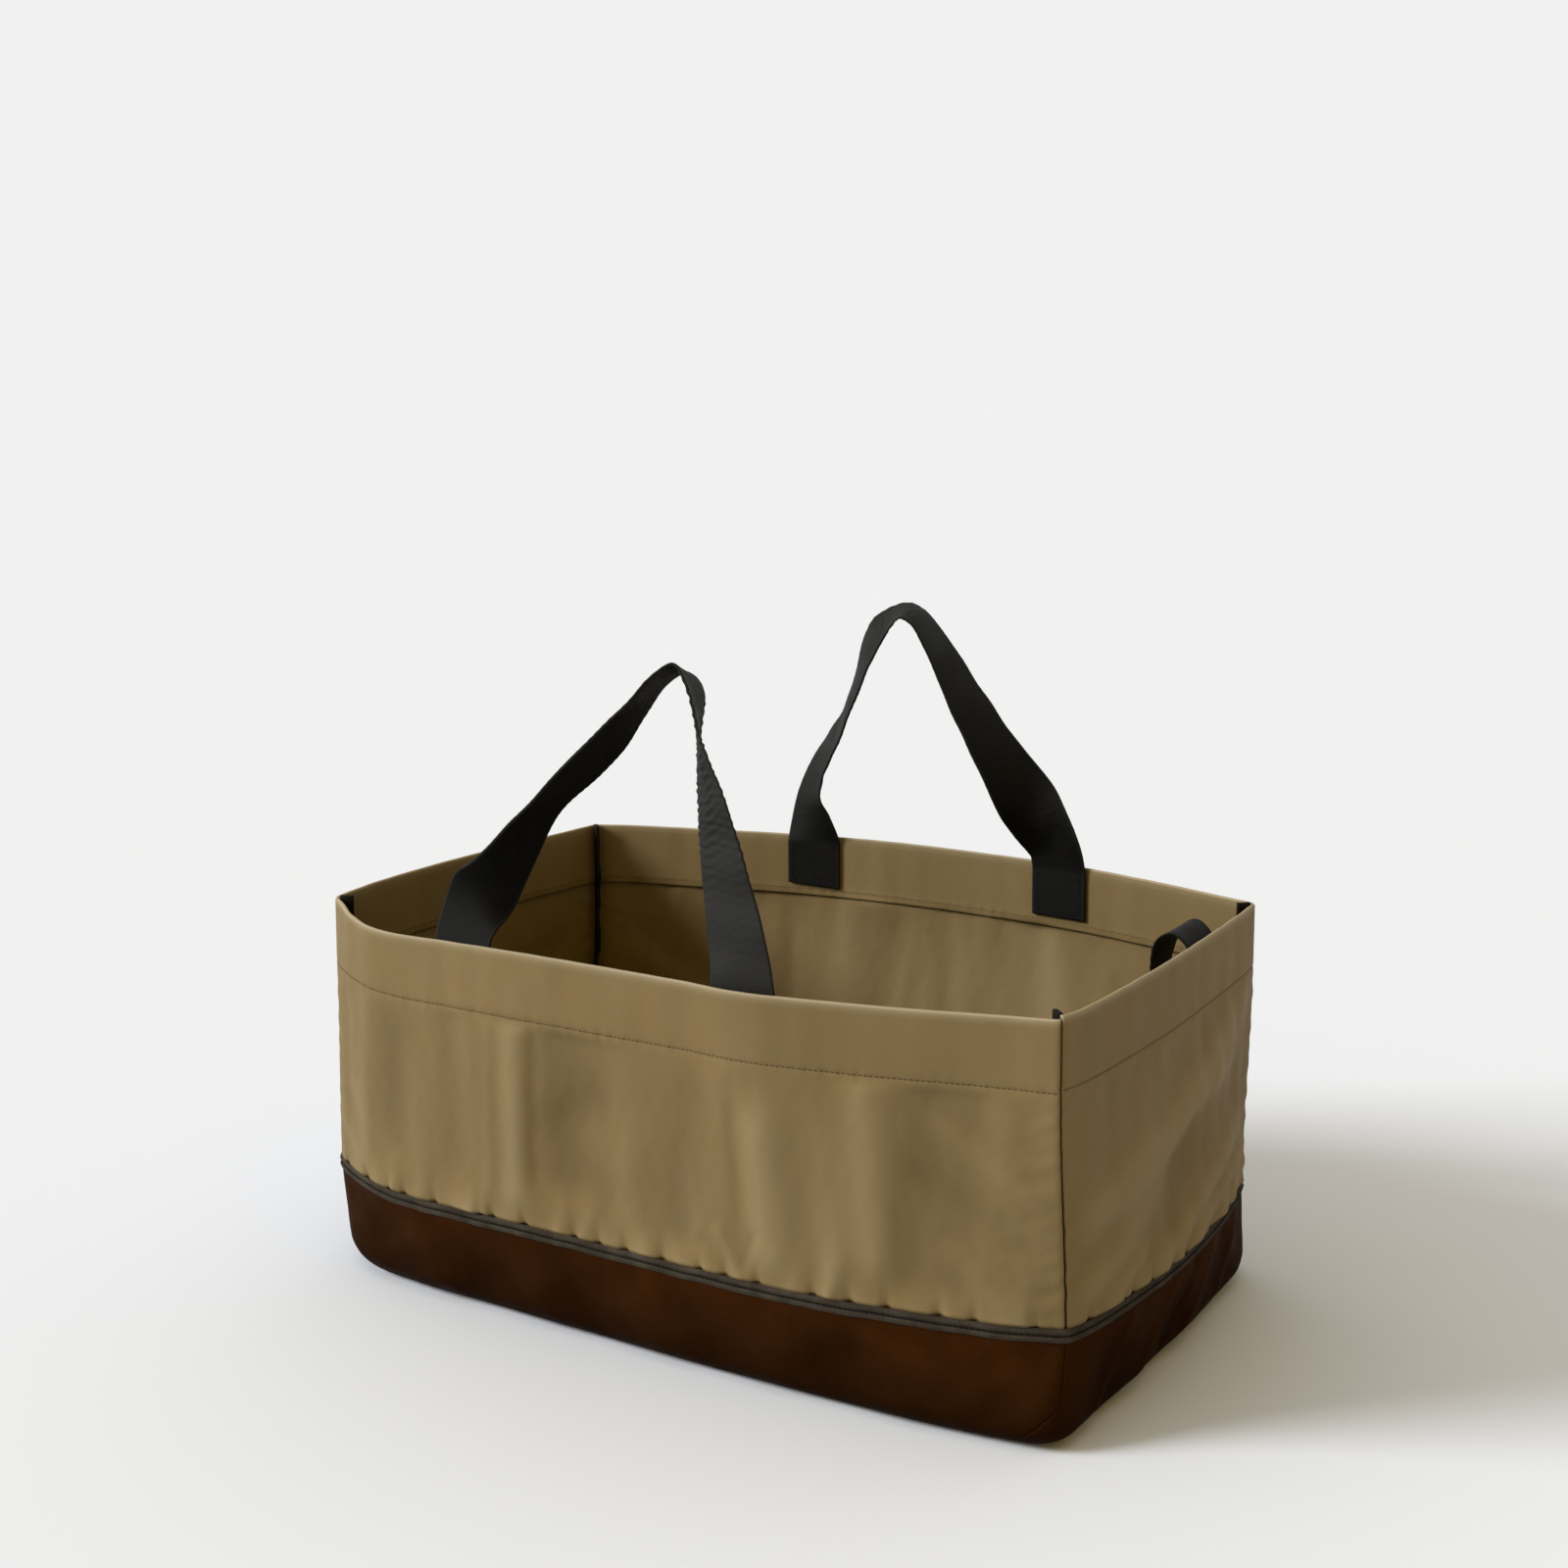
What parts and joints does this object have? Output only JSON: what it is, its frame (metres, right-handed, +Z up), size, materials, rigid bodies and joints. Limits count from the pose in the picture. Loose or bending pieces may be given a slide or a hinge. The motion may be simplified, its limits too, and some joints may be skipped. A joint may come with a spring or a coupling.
{
  "type": "firewood carrier bag",
  "caption": "Open-topped cloth firewood carrier bag with a dark lower skirt, a tape band round it, two webbing carry handles and an end strap.",
  "frame": {"origin": "on the floor under the middle of the bag", "axes": "+X along the bag towards the end that carries the strap, -Y towards the front, +Z up"},
  "size_m": [0.642, 0.4147, 0.4856],
  "materials": {
    "tan_canvas": "matt coated canvas",
    "brown_cloth": "satin coated cloth",
    "grey_tape": "ribbed tape",
    "black_webbing": "woven webbing",
    "dark_binding": "matt tape"
  },
  "bodies": {
    "root": {"front_panel": "tan_canvas", "front_skirt": "brown_cloth", "right_end_panel": "tan_canvas", "right_end_skirt": "brown_cloth", "back_panel": "tan_canvas", "back_skirt": "brown_cloth", "left_end_panel": "tan_canvas", "left_end_skirt": "brown_cloth", "base_panel": "brown_cloth", "band": "grey_tape", "front_handle": "black_webbing", "back_handle": "black_webbing", "right_end_strap": "black_webbing", "front_left_binding": "dark_binding", "front_right_binding": "dark_binding", "back_right_binding": "dark_binding", "back_left_binding": "dark_binding"}
  },
  "joints": []
}
